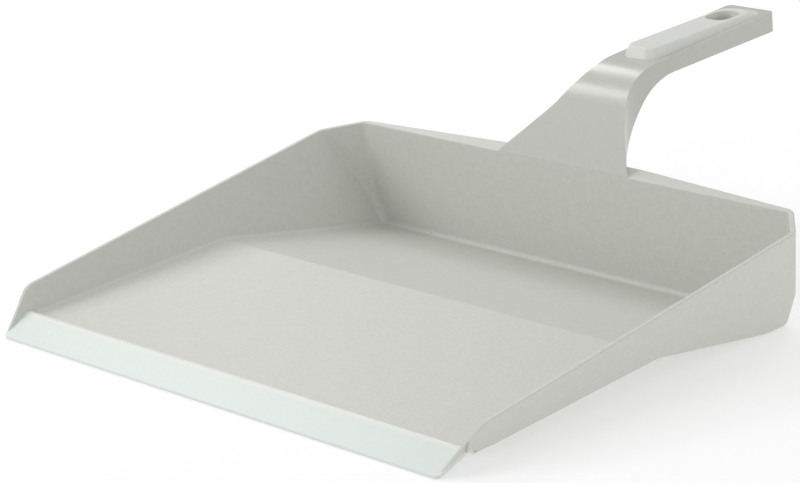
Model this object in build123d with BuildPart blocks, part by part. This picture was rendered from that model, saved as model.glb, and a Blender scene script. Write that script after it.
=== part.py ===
"""A one-handed dust pan in white moulded plastic.

The frame: X across the pan, Y from the sweeping lip back to the grip, Z up.
The origin is on the ground, half way across and half way along the pan.
Depth is the distance behind the front edge of the lip.
All sizes are in millimetres.
"""
import os
from math import cos, radians, sin

from build123d import *

# Overall size.
WIDTH = 330.0
LENGTH = 370.0

# Walls: how fast the sides close in towards the rear and spread towards the rim.
WALL = 2.5
NARROWING = 0.067
FLARE = 0.427
BACK_DEPTH = 232.8
BACK_LEAN = 0.06

# Rim: the side walls' top edge is one straight line that rises to the rear.
RIM_START = 16.2
RIM_SLOPE = 0.177
RIM_ROUNDING = 0.6
FRONT_TOP = 20.5
FRONT_TOP_RADIUS = 11.0

# Floor: behind the lip a ramp up to the crease, then a fall to the back wall and its flat heel.
FLOOR = 2.2
RAMP_START = (20.5, 7.3)
CREASE = (134.5, 16.4)
HEEL_START = 221.0
HEEL_RADIUS = 5.0
BOTTOM_RADIUS = 2.0
FLOOR_RADIUS = 2.2

# Rear corners: an upright flat facet, which the flare of the side walls narrows to a point.
FACET_ALONG = 16.4
FACET_ACROSS = 15.6
FACET_LEAN = 0.015
FACET_RADIUS = 6.0
INNER_FACET_RADIUS = 4.0

# Rear rim ledge, which widens towards the handle, and its slot for the handle's tab.
LEDGE_REACH = 7.2
LEDGE_TIP = 146.0
LEDGE_ROOT = 45.0
LEDGE_THICKNESS = 2.2
TAB_WIDTH = 60.0
TAB_THICKNESS = 2.4
TAB_DROP = 22.0
TAB_PLAY = 0.1
BARB_REACH = 1.0
BARB_HEIGHT = 5.0

# Lip strip: it rises to a crest in front of the floor, and its tongue lies under the floor.
LIP_EDGE = 1.2
LIP_LAND = 2.5
LIP_CORNER = 2.2
CREST = (16.6, 9.4)
CREST_RADIUS = 2.5
CREST_UNDERSIDE = (16.6, 7.0)
TONGUE_LENGTH = 11.0
TONGUE_THICKNESS = 1.1

# The side walls run forward over the ends of the lip, thinner from the notch on, to a point.
FIN_TIP = 3.0
FIN_THICKNESS = 1.4
NOTCH_DEPTH = 14.5

# Handle, as seen from the side.
RISER_ANGLE = 47.0
GRIP_ANGLE = 5.6
BEND_DEPTH = 266.0
BEND_RADIUS = 48.0
SKIN = 2.8
UNDERSIDE_FOOT = (248.4, 56.2)
UNDERSIDE_BEND = (282.5, 90.0)
UNDERSIDE_TIP = 96.4
UNDERSIDE_RADIUS = 35.0

# Handle, as seen from above.
ROOT_HALF = 45.0
GRIP_HALF = 15.6
WAIST_DEPTH = 258.2
WAIST_RADIUS = 40.0
GRIP_CORNER = 3.0
FLANGE = 2.5
WEB = 2.0
ROOT_WEBS = (-28.0, -14.0, 14.0, 28.0)
CROSS_WEBS = (285.0, 305.0, 325.0)
WEB_RECESS = 1.5

# Grip insert: its outline on the handle and the smaller one round its top, from front to back.
INSERT_FOOT = (284.2, 367.0)
INSERT_FOOT_HALF = 11.4
INSERT_FOOT_CORNER = 7.0
INSERT_TOP = (286.5, 360.5)
INSERT_TOP_HALF = 9.4
INSERT_TOP_CORNER = 6.0
INSERT_FRONT_HEIGHT = 103.2
INSERT_BACK_HEIGHT = 107.5
INSERT_EDGE_RADIUS = 1.0

# Spigot under the insert, and the slot for hanging the pan up.
SPIGOT_LENGTH = 44.0
SPIGOT_WIDTH = 12.0
SPIGOT_DEPTH = 1.8
SPIGOT_CENTRE = 314.0
SLOT_CENTRE = 348.0
SLOT_LENGTH = 16.0
SLOT_WIDTH = 14.5
SLOT_CORNER = 5.0
SLOT_LINER = 1.0
SLOT_COLLAR = 1.5

SIDE_VIEW = Plane(origin=(0, -LENGTH / 2, 0), x_dir=(0, 1, 0), z_dir=(1, 0, 0))
TOP_VIEW = Plane(origin=(0, -LENGTH / 2, 0))
FAR = 400.0


def rim_height(depth):
    return RIM_START + RIM_SLOPE * depth


def back_wall(height, grow=0.0):
    return BACK_DEPTH - BACK_LEAN * height + grow


def rim_corner(grow=0.0):
    """Depth and height where the back wall meets the rim plane."""
    depth = (back_wall(0, grow) - BACK_LEAN * RIM_START) / (1 + BACK_LEAN * RIM_SLOPE)
    return depth, rim_height(depth)


def ramp_height(depth):
    slope = (CREASE[1] - RAMP_START[1]) / (CREASE[0] - RAMP_START[0])
    return RAMP_START[1] + slope * (depth - RAMP_START[0])


def lip_height(depth):
    return LIP_EDGE + (CREST[1] - LIP_EDGE) * depth / CREST[0]


# The widest place is where a side wall meets its rear corner facet.
KINK_DEPTH = rim_corner()[0] - FACET_ALONG
SIDE_STRETCH = (1 + NARROWING**2 + FLARE**2) ** 0.5
FRONT_HALF = WIDTH / 2 - WALL * SIDE_STRETCH + NARROWING * KINK_DEPTH - FLARE * rim_height(KINK_DEPTH)


def side_half(depth, height, grow=0.0):
    return FRONT_HALF - NARROWING * depth + FLARE * height + grow * SIDE_STRETCH


def side_plane(side, grow):
    """The face of a side wall, on the +X side for 1 and the -X side for -1."""
    return Plane(origin=(side * FRONT_HALF, -LENGTH / 2, 0), z_dir=(side, NARROWING, -FLARE)).offset(grow)


def facet_plane(side, grow):
    """The flat facet across a rear corner."""
    height = rim_height(KINK_DEPTH)
    on_side = (side * side_half(KINK_DEPTH, height), KINK_DEPTH - LENGTH / 2, height)
    lean = FACET_LEAN * (FACET_ALONG**2 + FACET_ACROSS**2) ** 0.5
    return Plane(origin=on_side, z_dir=(side * FACET_ALONG, FACET_ACROSS, -lean)).offset(grow)


def cut_to_walls(grow):
    """Cut the open block to the side walls and the corner facets."""
    for side in (1, -1):
        split(bisect_by=side_plane(side, grow), keep=Keep.BOTTOM)
        split(bisect_by=facet_plane(side, grow), keep=Keep.BOTTOM)


def depth_of(edge):
    return edge.center().Y + LENGTH / 2


def facet_creases(edges):
    """The upright edges of a rear corner: both sides of its facet, and the one below it."""
    return edges.filter_by(lambda e: e.length > 5 and abs(e.center().X) > 100
                           and depth_of(e) > 185 and abs(e.tangent_at(0.5).Z) > 0.7)


def on_rim(edge):
    """Whether an edge lies in the rim plane."""
    points = [edge.position_at(t) for t in (0, 0.5, 1)]
    return all(abs(point.Z - rim_height(point.Y + LENGTH / 2)) < 0.01 for point in points)


def long_bottom_edges(edges, start):
    """The two straight runs of each side wall's bottom edge."""
    return edges.filter_by(lambda e: e.length > 60 and e.center().Z < 20
                           and abs(e.center().X) > 120 and depth_of(e) > start)


# ---------------------------------------------------------------- pan tray
tongue_end = RAMP_START[0] + TONGUE_LENGTH
rebate = FLOOR - TONGUE_THICKNESS

with BuildPart() as cavity:
    with BuildSketch(SIDE_VIEW):
        with BuildLine():
            Polyline(
                (-10, -10),
                (RAMP_START[0], -10),
                RAMP_START,
                CREASE,
                (back_wall(FLOOR), FLOOR),
                (back_wall(90), 90),
                (-10, 90),
                close=True,
            )
        make_face()
    extrude(amount=WIDTH, both=True)
    cut_to_walls(0)
    fillet(facet_creases(cavity.edges()), INNER_FACET_RADIUS)
    floor_rear = cavity.edges().filter_by(lambda e: depth_of(e) > 225 and e.center().Z < 4)
    fillet(floor_rear + long_bottom_edges(cavity.edges(), RAMP_START[0]), FLOOR_RADIUS)

rim_plane = Plane(origin=(0, -LENGTH / 2, RIM_START), x_dir=(1, 0, 0), z_dir=(0, -RIM_SLOPE, 1))
rim_stretch = (1 + RIM_SLOPE**2) ** 0.5
wall_back = rim_corner(WALL)[0]
tab_front = wall_back + TAB_PLAY
tab_back = tab_front + TAB_THICKNESS

with BuildPart() as tray:
    with BuildSketch(SIDE_VIEW):
        with BuildLine():
            Polyline(
                (FIN_TIP, lip_height(FIN_TIP)),
                CREST,
                RAMP_START,
                (RAMP_START[0], RAMP_START[1] - rebate),
                (tongue_end, ramp_height(tongue_end) - rebate),
                (tongue_end, ramp_height(tongue_end) - FLOOR),
                (CREASE[0], CREASE[1] - FLOOR),
                (HEEL_START, 0),
                (back_wall(0, WALL), 0),
                rim_corner(WALL),
                (FRONT_TOP, rim_height(FRONT_TOP)),
                close=True,
            )
        make_face()
    extrude(amount=WIDTH, both=True)
    cut_to_walls(WALL)
    fillet(facet_creases(tray.edges()), FACET_RADIUS)
    front_top = tray.edges().filter_by(lambda e: abs(depth_of(e) - FRONT_TOP) < 1
                                       and e.center().Z > RIM_START)
    fillet(front_top, FRONT_TOP_RADIUS)
    heel = tray.edges().filter_by(lambda e: depth_of(e) > 228 and e.center().Z < 1)
    fillet(heel, HEEL_RADIUS)
    fillet(long_bottom_edges(tray.edges(), tongue_end), BOTTOM_RADIUS)
    add(cavity.part, mode=Mode.SUBTRACT)
    rim = tray.edges().filter_by(lambda e: FRONT_TOP + 10 < depth_of(e) and on_rim(e))
    fillet(rim, RIM_ROUNDING)
    for side in (1, -1):
        with BuildPart(mode=Mode.PRIVATE) as beside_fin:
            with BuildSketch(SIDE_VIEW):
                Rectangle(NOTCH_DEPTH, RIM_START, align=Align.MIN)
            extrude(amount=WIDTH, both=True)
            split(bisect_by=side_plane(side, FIN_THICKNESS), keep=Keep.TOP)
        add(beside_fin.part, mode=Mode.SUBTRACT)
    with BuildSketch(rim_plane):
        with BuildLine():
            Polyline(
                (-LEDGE_TIP, (wall_back - WALL / 2) * rim_stretch),
                (-LEDGE_TIP, wall_back * rim_stretch),
                (-LEDGE_ROOT, (wall_back + LEDGE_REACH) * rim_stretch),
                (LEDGE_ROOT, (wall_back + LEDGE_REACH) * rim_stretch),
                (LEDGE_TIP, wall_back * rim_stretch),
                (LEDGE_TIP, (wall_back - WALL / 2) * rim_stretch),
                close=True,
            )
        make_face()
    extrude(amount=-LEDGE_THICKNESS)
    with BuildSketch(TOP_VIEW.offset(rim_height(wall_back) - 5)):
        with Locations((0, (tab_front + tab_back) / 2)):
            Rectangle(TAB_WIDTH + 2 * TAB_PLAY, TAB_THICKNESS + 2 * TAB_PLAY)
    extrude(amount=10, mode=Mode.SUBTRACT)
tray.part.label = "pan_tray"

# ---------------------------------------------------------------- lip strip
with BuildPart() as lip:
    with BuildSketch(SIDE_VIEW):
        with BuildLine():
            Polyline(
                (0, 0),
                (0, LIP_EDGE),
                CREST,
                RAMP_START,
                (RAMP_START[0], RAMP_START[1] - rebate),
                (tongue_end, ramp_height(tongue_end) - rebate),
                (tongue_end, ramp_height(tongue_end) - FLOOR),
                (RAMP_START[0], RAMP_START[1] - FLOOR),
                CREST_UNDERSIDE,
                (LIP_LAND, 0),
                close=True,
            )
        make_face()
    extrude(amount=WIDTH, both=True)
    for side in (1, -1):
        split(bisect_by=side_plane(side, FIN_THICKNESS), keep=Keep.BOTTOM)
    crest = lip.edges().filter_by(lambda e: e.length > 200 and e.center().Z > RAMP_START[1] + 1)
    fillet(crest, CREST_RADIUS)
    lip_corners = lip.edges().filter_by(lambda e: depth_of(e) < 0.1 and e.length < 2)
    fillet(lip_corners, LIP_CORNER)
lip.part.label = "lip_strip"

# ---------------------------------------------------------------- handle frame
rise, run = sin(radians(RISER_ANGLE)), cos(radians(RISER_ANGLE))
root_depth, root_height = rim_corner()
bend_height = root_height + (BEND_DEPTH - root_depth) * rise / run
grip_slope = sin(radians(GRIP_ANGLE)) / cos(radians(GRIP_ANGLE))


def grip_height(depth):
    return bend_height + grip_slope * (depth - BEND_DEPTH)


def spine(drop):
    """The handle's top line from root to tip, moved inwards by a distance."""
    half_turn = radians(RISER_ANGLE - GRIP_ANGLE) / 2
    middle = radians(RISER_ANGLE + GRIP_ANGLE) / 2
    shift = drop / cos(half_turn)
    return [
        (root_depth + drop / rise, root_height),
        (BEND_DEPTH + shift * sin(middle), bend_height - shift * cos(middle)),
        (LENGTH, grip_height(LENGTH) - drop / cos(radians(GRIP_ANGLE))),
    ]


def plan_outline(inset):
    """Half of the handle's outline from above, as corner points from root to tip."""
    slant = (ROOT_HALF - GRIP_HALF) / (WAIST_DEPTH - root_depth)
    slant_inset = inset * (1 + slant**2) ** 0.5
    half = GRIP_HALF - inset
    waist = WAIST_DEPTH + (ROOT_HALF - slant_inset - slant * (WAIST_DEPTH - root_depth) - half) / slant
    return [(ROOT_HALF - slant_inset, root_depth), (half, waist), (half, LENGTH - inset)]


ledge_back = wall_back + LEDGE_REACH
foot_depth = ledge_back + LEDGE_THICKNESS * RIM_SLOPE + TAB_PLAY
grip_plane = Plane(
    origin=(0, SPIGOT_CENTRE - LENGTH / 2, grip_height(SPIGOT_CENTRE)),
    x_dir=(1, 0, 0),
    z_dir=(0, -grip_slope, 1),
)

with BuildPart() as envelope:
    with BuildSketch(SIDE_VIEW):
        with BuildLine():
            top = spine(0)
            FilletPolyline(*top, radius=BEND_RADIUS)
            Line(top[2], (LENGTH, UNDERSIDE_TIP))
            FilletPolyline((LENGTH, UNDERSIDE_TIP), UNDERSIDE_BEND, UNDERSIDE_FOOT, radius=UNDERSIDE_RADIUS)
            Polyline(
                UNDERSIDE_FOOT,
                (foot_depth, UNDERSIDE_FOOT[1]),
                (foot_depth, rim_height(foot_depth)),
                top[0],
            )
        make_face()
    extrude(amount=ROOT_HALF, both=True)
    with BuildSketch(TOP_VIEW):
        with BuildLine():
            right = plan_outline(0)
            FilletPolyline(*right, radius=WAIST_RADIUS)
            Line(right[2], (-right[2][0], right[2][1]))
            FilletPolyline(*[(-x, y) for x, y in right], radius=WAIST_RADIUS)
            Line((-right[0][0], right[0][1]), right[0])
        make_face()
    extrude(amount=FAR, mode=Mode.INTERSECT)
    tip_corners = envelope.edges().filter_by(Axis.Z).filter_by(lambda e: depth_of(e) > LENGTH - 1)
    fillet(tip_corners, GRIP_CORNER)

with BuildPart() as hollow:
    with BuildSketch(SIDE_VIEW):
        with BuildLine():
            roof = spine(SKIN)
            FilletPolyline(*roof, radius=BEND_RADIUS - SKIN)
            Polyline(roof[2], (LENGTH, 0), (roof[0][0], 0), roof[0])
        make_face()
    extrude(amount=ROOT_HALF, both=True)
    with BuildSketch(TOP_VIEW):
        with BuildLine():
            right = plan_outline(FLANGE)
            FilletPolyline(*right, radius=WAIST_RADIUS)
            Line(right[2], (-right[2][0], right[2][1]))
            FilletPolyline(*[(-x, y) for x, y in right], radius=WAIST_RADIUS)
            Line((-right[0][0], right[0][1]), right[0])
        make_face()
    extrude(amount=FAR, mode=Mode.INTERSECT)

# Webs and the collar round the slot stop a little short of the open underside.
with BuildPart() as webs:
    for middle in (0.0, *ROOT_WEBS):
        with BuildSketch(SIDE_VIEW.offset(middle)):
            with BuildLine():
                under = spine(SKIN / 2)
                FilletPolyline(*under, radius=BEND_RADIUS - SKIN / 2)
                Polyline(
                    under[2],
                    (LENGTH, UNDERSIDE_TIP + WEB_RECESS),
                    (UNDERSIDE_BEND[0], UNDERSIDE_BEND[1] + WEB_RECESS),
                    (UNDERSIDE_FOOT[0], UNDERSIDE_FOOT[1] + WEB_RECESS),
                    (foot_depth, UNDERSIDE_FOOT[1] + WEB_RECESS),
                    (foot_depth, rim_height(foot_depth)),
                    under[0],
                )
            make_face()
        extrude(amount=WEB / 2, both=True)
    for depth in CROSS_WEBS:
        low = UNDERSIDE_BEND[1] + WEB_RECESS
        with Locations((0, depth - LENGTH / 2, (low + grip_height(depth)) / 2)):
            Box(2 * GRIP_HALF, WEB, grip_height(depth) - low)
    with BuildSketch(TOP_VIEW.offset(UNDERSIDE_BEND[1] + WEB_RECESS)):
        with Locations((0, SLOT_CENTRE)):
            RectangleRounded(
                SLOT_WIDTH + 2 * SLOT_COLLAR,
                SLOT_LENGTH + 2 * SLOT_COLLAR,
                SLOT_CORNER + SLOT_COLLAR,
            )
    extrude(amount=BEND_RADIUS)
    add(envelope.part, mode=Mode.INTERSECT)

with BuildPart() as handle:
    add(envelope.part)
    add(hollow.part, mode=Mode.SUBTRACT)
    add(webs.part)
    with BuildSketch(SIDE_VIEW.offset(-TAB_WIDTH / 2)):
        tab_foot = rim_height(wall_back) - TAB_DROP
        barb_top = rim_height(tab_back) - LEDGE_THICKNESS * rim_stretch - TAB_PLAY
        with BuildLine():
            Polyline(
                (back_wall(tab_foot, WALL + TAB_PLAY), tab_foot),
                (tab_front, rim_height(tab_front)),
                (tab_back, rim_height(tab_back)),
                (tab_back, barb_top),
                (tab_back + BARB_REACH, barb_top),
                (tab_back, barb_top - BARB_HEIGHT),
                (back_wall(tab_foot, WALL + TAB_PLAY) + TAB_THICKNESS / 2, tab_foot),
                close=True,
            )
        make_face()
    extrude(amount=TAB_WIDTH)
    with BuildSketch(grip_plane):
        Rectangle(SPIGOT_WIDTH, SPIGOT_LENGTH)
    extrude(amount=-SPIGOT_DEPTH, mode=Mode.SUBTRACT)
    with BuildSketch(TOP_VIEW):
        with Locations((0, SLOT_CENTRE)):
            RectangleRounded(
                SLOT_WIDTH - 2 * SLOT_LINER,
                SLOT_LENGTH - 2 * SLOT_LINER,
                SLOT_CORNER - SLOT_LINER,
            )
    extrude(amount=FAR, mode=Mode.SUBTRACT)
handle.part.label = "handle_frame"

# ---------------------------------------------------------------- grip insert
insert_slope = (INSERT_BACK_HEIGHT - INSERT_FRONT_HEIGHT) / (INSERT_TOP[1] - INSERT_TOP[0])
top_middle = (INSERT_TOP[0] + INSERT_TOP[1]) / 2
top_plane = Plane(
    origin=(0, top_middle - LENGTH / 2, (INSERT_FRONT_HEIGHT + INSERT_BACK_HEIGHT) / 2),
    x_dir=(1, 0, 0),
    z_dir=(0, -insert_slope, 1),
)
with BuildPart() as insert:
    with BuildSketch(grip_plane):
        with Locations((0, (INSERT_FOOT[0] + INSERT_FOOT[1]) / 2 - SPIGOT_CENTRE)):
            RectangleRounded(2 * INSERT_FOOT_HALF, INSERT_FOOT[1] - INSERT_FOOT[0], INSERT_FOOT_CORNER)
    with BuildSketch(top_plane):
        RectangleRounded(2 * INSERT_TOP_HALF, INSERT_TOP[1] - INSERT_TOP[0], INSERT_TOP_CORNER)
    loft(ruled=True)
    top_face = max(insert.faces(), key=lambda face: face.normal_at().Z)
    fillet(top_face.edges(), INSERT_EDGE_RADIUS)
    with BuildSketch(grip_plane):
        Rectangle(SPIGOT_WIDTH, SPIGOT_LENGTH)
    extrude(amount=-SPIGOT_DEPTH)
    with BuildSketch(TOP_VIEW):
        with Locations((0, SLOT_CENTRE)):
            RectangleRounded(SLOT_WIDTH, SLOT_LENGTH, SLOT_CORNER)
    extrude(amount=FAR, mode=Mode.SUBTRACT)
insert.part.label = "grip_insert"

os.makedirs("parts", exist_ok=True)
export_step(tray.part, "parts/pan_tray.step")
export_step(lip.part, "parts/lip_strip.step")
export_step(handle.part, "parts/handle_frame.step")
export_step(insert.part, "parts/grip_insert.step")
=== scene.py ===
"""Looks for the white plastic dust pan, in metres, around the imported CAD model."""
import math

import bpy
from mathutils import Matrix, Vector


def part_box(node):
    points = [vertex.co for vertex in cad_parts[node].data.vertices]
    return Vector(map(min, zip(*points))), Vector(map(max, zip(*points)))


# The photograph's view. Azimuth 0 looks along +Y, and more of it moves the camera towards +X.
VIEW_AZIMUTH = math.radians(49.5)
VIEW_ELEVATION = math.radians(16.544)
VIEW_ROLL = math.radians(4.411)
VIEW_TARGET = Vector((0.0169, -0.0767, 0.0510))
VIEW_DISTANCE = 1.45
LENS_MM = 142.0
SENSOR_MM = 36.0
NEAREST_SEEN = 0.05

# Plastic colours, linear. The tray has the plastic's own colour; the lip's and the insert's are lightened
# with painted light, and the handle's is darkened with painted shade.
TRAY_PLASTIC = (0.632, 0.636, 0.592)
# Lip strip: the tray's plastic, made paler and greener as a painted sheen of the lamps on its glossy
# slope.
LIP_PLASTIC_AND_SHEEN = (0.690, 0.745, 0.707)
# Lip's rear band: the tray's warmer tone, lightened as a painted highlight on the crest.
LIP_CREST_TONE_AND_HIGHLIGHT = (0.760, 0.770, 0.730)
# Handle: the tray's plastic darkened, as painted shade on its steep riser and sides.
HANDLE_SHADED_PLASTIC = (0.550, 0.552, 0.512)
# Grip insert: the same plastic as the handle, lightened as painted light on its up-facing top.
INSERT_LIT_PLASTIC = (0.730, 0.742, 0.700)

# How far behind the lip's front edge its paler rear colour starts, and is full. That colour is the tray's
# warmer tone along the crest, lightened further as a painted highlight.
LIP_FADE_START = 0.0138
LIP_FADE_END = 0.0150

# What every plastic shares. A noise's scale is in cells a metre, and its detail in octaves.
PLASTIC_IOR = 1.49
MOTTLE_SCALE = 420
MOTTLE_DETAIL = 4
GRAIN_DETAIL = 2
GRAIN_HEIGHT = 0.0002
ROUGHNESS_SPREAD = 0.06

# The floor: a square of white paper just below the pan.
FLOOR_HALF_SIDE = 12
FLOOR_DROP = 0.0002
PAPER_ALBEDO = 0.62
PAPER_GLOW = 0.42
PAPER_ROUGHNESS = 0.9

# The light: an even white surround, and softboxes aimed at one of these points.
SURROUND_STRENGTH = 0.47
PAN_BASE = (0, 0, 0)
PAN_MIDDLE = (0, 0, 0.03)
PAN_UPPER_HALF = (0, 0, 0.04)
HANDLE_TOP = (0, 0.08, 0.09)

# Name, place, the point it faces, width, height, and power in watts.
SOFTBOXES = (
    ("overhead", (-0.2, 0.55, 1.5), PAN_BASE, 1.2, 1.2, 5.6),
    ("front_left", (-1.0, -1.3, 0.7), PAN_MIDDLE, 0.9, 0.9, 8.0),
    ("right_low", (1.3, 0.5, 0.45), PAN_UPPER_HALF, 1.0, 0.4, 1.6),
    ("beside_camera", (1.1, -1.0, 1.1), PAN_MIDDLE, 0.9, 0.9, 3.2),
    ("band_front", (-1.17, -0.10, 1.09), HANDLE_TOP, 0.24, 0.5, 2.3),
    ("band_back", (-1.17, 0.62, 0.92), HANDLE_TOP, 0.24, 0.5, 2.1),
)


def link(tree, source, target):
    tree.links.new(source, target)


def make_camera():
    sin_az, cos_az = math.sin(VIEW_AZIMUTH), math.cos(VIEW_AZIMUTH)
    cos_el = math.cos(VIEW_ELEVATION)
    forward = Vector((-sin_az * cos_el, cos_az * cos_el, -math.sin(VIEW_ELEVATION)))
    level = Vector((cos_az, sin_az, 0))
    down = forward.cross(level)
    right = math.cos(VIEW_ROLL) * level + math.sin(VIEW_ROLL) * down
    up = math.sin(VIEW_ROLL) * level - math.cos(VIEW_ROLL) * down
    data = bpy.data.cameras.new("photo_camera")
    data.lens = LENS_MM
    data.sensor_width = SENSOR_MM
    data.clip_start = NEAREST_SEEN
    camera = bpy.data.objects.new("photo_camera", data)
    turn = Matrix((right, up, -forward)).transposed()
    place = Matrix.Translation(VIEW_TARGET - VIEW_DISTANCE * forward)
    camera.matrix_world = place @ turn.to_4x4()
    bpy.context.scene.collection.objects.link(camera)
    bpy.context.scene.camera = camera


def new_material(name):
    """A material with nodes, with its node tree and its shader."""
    material = bpy.data.materials.new(name)
    material.use_nodes = True
    tree = material.node_tree
    return material, tree, tree.nodes["Principled BSDF"]


def noise(tree, scale, detail):
    """The value of a noise fixed to the object."""
    place = tree.nodes.new("ShaderNodeTexCoord")
    node = tree.nodes.new("ShaderNodeTexNoise")
    node.inputs["Scale"].default_value = scale
    node.inputs["Detail"].default_value = detail
    link(tree, place.outputs["Object"], node.inputs["Vector"])
    return node.outputs["Fac"]


def moulded_plastic(name, colour, mottling, roughness, grain, grain_scale):
    """Moulded plastic with a fine grain in its surface and its gloss, and a faint mottle."""
    material, tree, shader = new_material(name)
    shader.inputs["IOR"].default_value = PLASTIC_IOR

    tint = tree.nodes.new("ShaderNodeMix")
    tint.data_type = "RGBA"
    tint.inputs["A"].default_value = (*[c * (1 - mottling) for c in colour], 1)
    tint.inputs["B"].default_value = (*[c * (1 + mottling) for c in colour], 1)
    link(tree, noise(tree, MOTTLE_SCALE, MOTTLE_DETAIL), tint.inputs["Factor"])
    link(tree, tint.outputs["Result"], shader.inputs["Base Color"])

    fine = noise(tree, grain_scale, GRAIN_DETAIL)
    gloss = tree.nodes.new("ShaderNodeMapRange")
    gloss.inputs["To Min"].default_value = roughness - ROUGHNESS_SPREAD
    gloss.inputs["To Max"].default_value = roughness + ROUGHNESS_SPREAD
    link(tree, fine, gloss.inputs["Value"])
    link(tree, gloss.outputs["Result"], shader.inputs["Roughness"])
    bump = tree.nodes.new("ShaderNodeBump")
    bump.inputs["Strength"].default_value = grain
    bump.inputs["Distance"].default_value = GRAIN_HEIGHT
    link(tree, fine, bump.inputs["Height"])
    link(tree, bump.outputs["Normal"], shader.inputs["Normal"])
    return material


def fade_behind(material, start, end, colour):
    """Fade a material to a second colour between two places along Y."""
    tree = material.node_tree
    shader = tree.nodes["Principled BSDF"]
    place = tree.nodes.new("ShaderNodeTexCoord")
    split = tree.nodes.new("ShaderNodeSeparateXYZ")
    link(tree, place.outputs["Object"], split.inputs["Vector"])
    fade = tree.nodes.new("ShaderNodeMapRange")
    fade.inputs["From Min"].default_value = start
    fade.inputs["From Max"].default_value = end
    link(tree, split.outputs["Y"], fade.inputs["Value"])
    blend = tree.nodes.new("ShaderNodeMix")
    blend.data_type = "RGBA"
    first_colour = shader.inputs["Base Color"].links[0].from_socket
    link(tree, first_colour, blend.inputs["A"])
    blend.inputs["B"].default_value = (*colour, 1)
    link(tree, fade.outputs["Result"], blend.inputs["Factor"])
    link(tree, blend.outputs["Result"], shader.inputs["Base Color"])


def tray_look():
    return moulded_plastic(
        "tray_plastic_look", TRAY_PLASTIC, mottling=0.07, roughness=0.46, grain=0.55, grain_scale=900
    )


def lip_look():
    # Paler, greener colour: painted sheen of the lamps on the lip's glossy slope.
    material = moulded_plastic(
        "lip_plastic_sheen_look", LIP_PLASTIC_AND_SHEEN, mottling=0.03, roughness=0.30, grain=0.01, grain_scale=600
    )
    # Behind the crest the colour fades to the tray's warmer tone with a painted highlight.
    lip_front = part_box("lip_strip")[0][1]
    fade_behind(material, lip_front + LIP_FADE_START, lip_front + LIP_FADE_END, LIP_CREST_TONE_AND_HIGHLIGHT)
    return material


def handle_look():
    # Darker than the tray: painted shade on the handle's riser and sides.
    return moulded_plastic(
        "handle_shaded_plastic_look", HANDLE_SHADED_PLASTIC, mottling=0.04, roughness=0.22, grain=0.008, grain_scale=1600
    )


def insert_look():
    # Lighter than the handle: painted light on the insert's up-facing top.
    return moulded_plastic(
        "insert_lit_plastic_look", INSERT_LIT_PLASTIC, mottling=0.04, roughness=0.40, grain=0.10, grain_scale=1600
    )


def dress(node, material):
    """Give every material slot of a CAD node one material."""
    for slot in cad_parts[node].material_slots:
        slot.material = material


def glowing_paper():
    """Matt white paper that also glows, so that the shadow on it stays faint."""
    material, _, shader = new_material("studio_floor")
    shader.inputs["Base Color"].default_value = (PAPER_ALBEDO, PAPER_ALBEDO, PAPER_ALBEDO, 1)
    shader.inputs["Roughness"].default_value = PAPER_ROUGHNESS
    shader.inputs["Emission Color"].default_value = (1, 1, 1, 1)
    shader.inputs["Emission Strength"].default_value = PAPER_GLOW
    return material


def make_floor():
    half = FLOOR_HALF_SIDE
    corners = [(-half, -half, 0), (half, -half, 0), (half, half, 0), (-half, half, 0)]
    mesh = bpy.data.meshes.new("studio_floor")
    mesh.from_pydata(corners, [], [(0, 1, 2, 3)])
    mesh.materials.append(glowing_paper())
    floor = bpy.data.objects.new("studio_floor", mesh)
    floor.location.z = -FLOOR_DROP
    bpy.context.scene.collection.objects.link(floor)


def softbox(name, place, target, width, height, power):
    data = bpy.data.lights.new(name, "AREA")
    data.shape = "RECTANGLE"
    data.size = width
    data.size_y = height
    data.energy = power
    lamp = bpy.data.objects.new(name, data)
    lamp.location = place
    aim = Vector(target) - Vector(place)
    lamp.rotation_euler = aim.to_track_quat("-Z", "Y").to_euler()
    bpy.context.scene.collection.objects.link(lamp)


def make_light():
    world = bpy.data.worlds.new("studio")
    world.use_nodes = True
    surround = world.node_tree.nodes["Background"]
    surround.inputs["Color"].default_value = (1, 1, 1, 1)
    surround.inputs["Strength"].default_value = SURROUND_STRENGTH
    bpy.context.scene.world = world
    for settings in SOFTBOXES:
        softbox(*settings)
    bpy.context.scene.view_settings.view_transform = "Standard"


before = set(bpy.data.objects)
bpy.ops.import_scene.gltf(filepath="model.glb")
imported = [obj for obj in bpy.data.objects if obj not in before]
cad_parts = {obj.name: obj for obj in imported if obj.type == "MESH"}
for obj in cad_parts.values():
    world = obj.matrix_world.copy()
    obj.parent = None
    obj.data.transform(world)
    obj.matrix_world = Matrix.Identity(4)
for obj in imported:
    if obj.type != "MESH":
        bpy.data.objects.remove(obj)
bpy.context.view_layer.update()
make_camera()
make_light()
make_floor()
dress("pan_tray", tray_look())
dress("lip_strip", lip_look())
dress("handle_frame", handle_look())
dress("grip_insert", insert_look())
